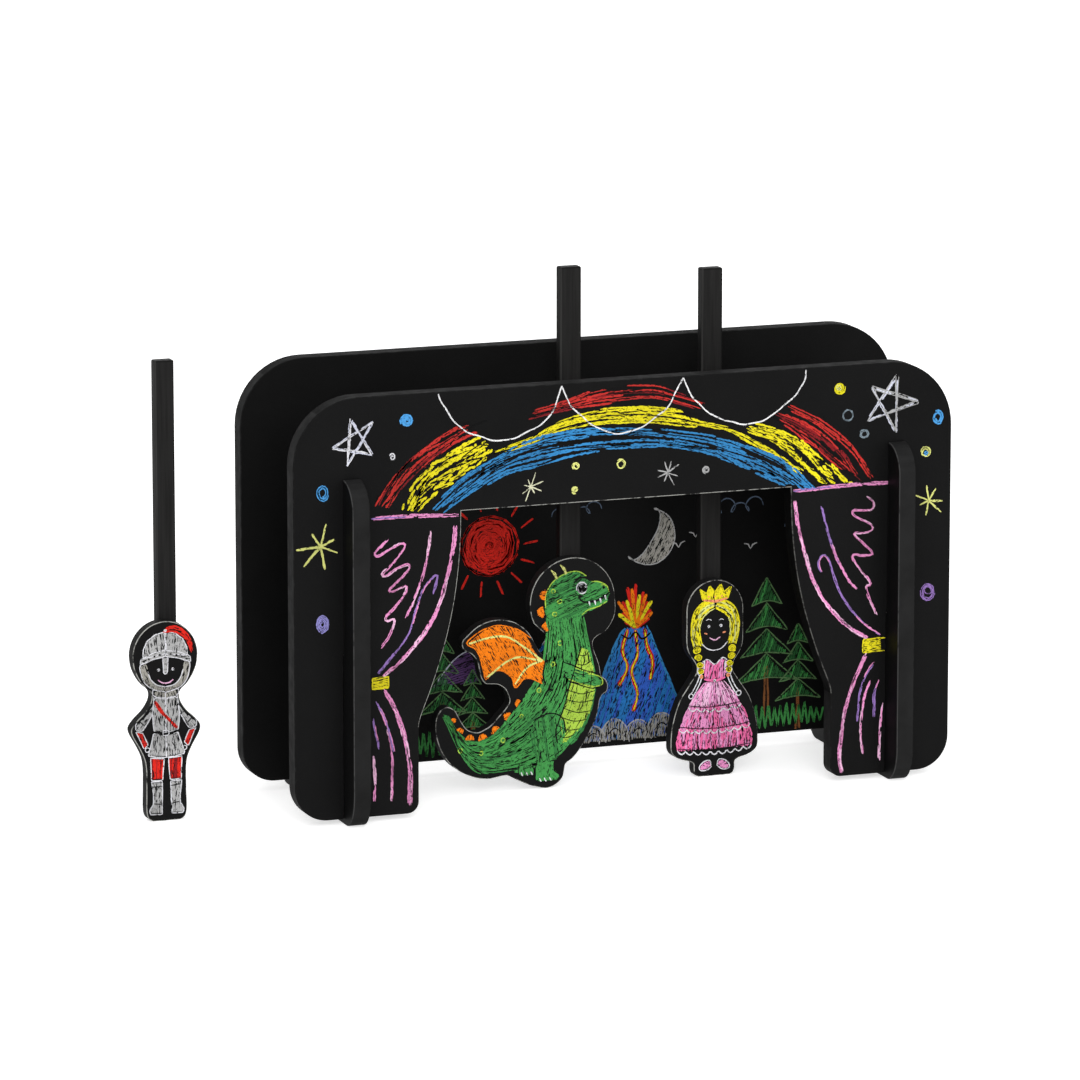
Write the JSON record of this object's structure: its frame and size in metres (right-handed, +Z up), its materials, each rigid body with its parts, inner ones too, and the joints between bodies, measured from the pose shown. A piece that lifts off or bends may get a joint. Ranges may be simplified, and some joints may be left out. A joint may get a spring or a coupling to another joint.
{
  "type": "tabletop puppet theatre",
  "caption": "Black tabletop puppet theatre: a panel with a curtained stage opening, a backdrop panel, slotted cross braces and stick puppets.",
  "frame": {"origin": "on the table, at the middle of the whole set's width and depth", "axes": "+X to the right as the audience sees it, +Y from the audience to the backdrop, +Z up"},
  "size_m": [0.3633, 0.1032, 0.2271],
  "materials": {
    "panel_board": "matte black scratch coating with coloured strokes",
    "brace_board": "matte black coating",
    "figure_board": "matte black scratch coating with coloured strokes",
    "stick_wood": "matte black coating"
  },
  "bodies": {
    "braces": {"left_brace": "brace_board", "right_brace": "brace_board"},
    "front_board": {"front_panel": "panel_board"},
    "back_board": {"back_panel": "panel_board"},
    "dragon": {"dragon_figure": "figure_board", "dragon_stick": "stick_wood"},
    "princess": {"princess_figure": "figure_board", "princess_stick": "stick_wood"},
    "knight": {"knight_figure": "figure_board", "knight_stick": "stick_wood"}
  },
  "joints": [
    {"name": "front_panel_lift", "type": "slide", "parent": "braces", "child": "front_board", "axis": [0, 0, 1], "range_m": [0, 0.15]},
    {"name": "back_panel_lift", "type": "slide", "parent": "braces", "child": "back_board", "axis": [0, 0, 1], "range_m": [0, 0.15]},
    {"name": "dragon_lift", "type": "slide", "parent": "braces", "child": "dragon", "axis": [0, 0, 1], "range_m": [0, 0.19]},
    {"name": "princess_lift", "type": "slide", "parent": "braces", "child": "princess", "axis": [0, 0, 1], "range_m": [0, 0.19]},
    {"name": "knight_lift", "type": "slide", "parent": "braces", "child": "knight", "axis": [0, 0, 1], "range_m": [0, 0.19]}
  ]
}
